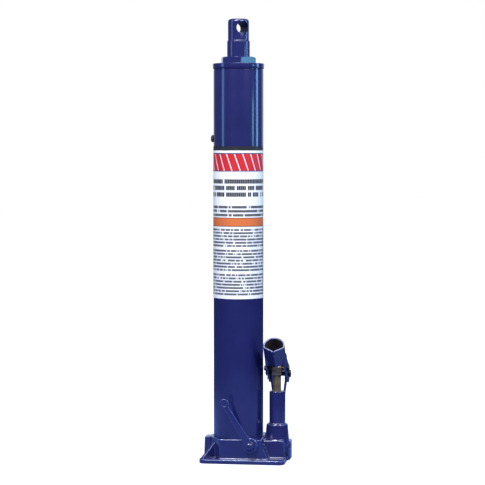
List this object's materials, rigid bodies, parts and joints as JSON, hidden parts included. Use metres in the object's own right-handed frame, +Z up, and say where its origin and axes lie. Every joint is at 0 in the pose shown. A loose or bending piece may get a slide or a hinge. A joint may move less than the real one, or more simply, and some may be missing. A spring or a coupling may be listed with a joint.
{
  "type": "long-ram hydraulic jack",
  "caption": "Long-ram hydraulic jack with a flat foot, a side hand pump, a release valve lever and a ram that ends in a pin eye.",
  "frame": {"origin": "centre of the tank tube, in the plane of the foot's underside", "axes": "+Z up along the ram, -Y towards the front with the release valve, +X towards the hand pump"},
  "size_m": [0.1236, 0.099, 0.62],
  "materials": {
    "paint": "gloss enamel over castings and tube",
    "steel": "ground",
    "pin_steel": "black oxide",
    "bronze": "turned",
    "copper": "soft copper",
    "rubber": "matt",
    "label": "printed film"
  },
  "bodies": {
    "base": {"base_casting": "paint", "reservoir_tube": "paint", "pressure_cylinder": "steel", "top_nut": "paint", "tank_top_gasket": "rubber", "tank_bottom_gasket": "rubber", "cylinder_gasket": "copper", "ram_guide_bush": "bronze", "ram_wiper": "rubber", "label": "label", "pump_cylinder": "paint", "pump_cylinder_gasket": "copper", "suction_passage_plug": "pin_steel", "delivery_passage_plug": "pin_steel", "delivery_screw": "bronze", "delivery_spring": "steel", "release_ball": "steel", "release_o_ring": "rubber", "release_gland_washer": "steel", "link_lower_pin": "pin_steel", "link_lower_cotter": "pin_steel"},
    "suction_valve": {"suction_ball": "steel"},
    "delivery_valve": {"delivery_ball": "steel"},
    "ram_packing": {"piston_seal": "rubber", "piston_backup_ring": "rubber"},
    "ram": {"ram": "paint", "piston_head": "steel", "piston_nut": "steel"},
    "filler_plug": {"filler_plug": "rubber"},
    "plunger": {"plunger": "steel", "plunger_seal": "rubber"},
    "link": {"link_bar_left": "paint", "link_bar_right": "paint", "link_upper_pin": "pin_steel", "link_upper_cotter": "pin_steel"},
    "handle_socket": {"handle_socket": "paint", "plunger_pin": "pin_steel", "plunger_cotter": "pin_steel"},
    "release_valve": {"release_stem": "steel", "release_lever": "paint", "lever_screw": "pin_steel"}
  },
  "joints": [
    {"name": "ram_slide", "type": "slide", "parent": "base", "child": "ram_packing", "axis": [0, 0, 1], "range_m": [0, 0.49]},
    {"name": "ram_spin", "type": "hinge", "parent": "ram_packing", "child": "ram", "pos_m": [0, 0, 0.6], "axis": [0, 0, 1], "continuous": true},
    {"name": "link_rock", "type": "hinge", "parent": "base", "child": "link", "pos_m": [0.055, 0.02042, 0.036], "axis": [1, 0, 0], "range_deg": [-2, 0.5]},
    {"name": "handle_swing", "type": "hinge", "parent": "link", "child": "handle_socket", "pos_m": [0.055, 0.0215, 0.12], "axis": [1, 0, 0], "range_deg": [-4.7, 32.4]},
    {"name": "plunger_slide", "type": "slide", "parent": "base", "child": "plunger", "axis": [0, 0, 1], "range_m": [-0.0135, 0.0022]},
    {"name": "release_turn", "type": "hinge", "parent": "base", "child": "release_valve", "pos_m": [0.022, -0.044, 0.0265], "axis": [0, -1, 0], "range_deg": [0, 55]},
    {"name": "filler_plug_pull", "type": "slide", "parent": "base", "child": "filler_plug", "axis": [-1, 0, 0], "range_m": [0, 0.015]},
    {"name": "suction_ball_lift", "type": "slide", "parent": "base", "child": "suction_valve", "axis": [0, 0, 1], "range_m": [0, 0.0015]},
    {"name": "delivery_ball_lift", "type": "slide", "parent": "base", "child": "delivery_valve", "axis": [0, 0, 1], "range_m": [0, 0.001], "deforming": ["delivery_spring"]}
  ],
  "couplings": [
    {"joint": "link_rock", "follows": "handle_swing", "ratio": -0.056},
    {"joint": "plunger_slide", "follows": "handle_swing", "m_per_rad": -0.0217}
  ]
}
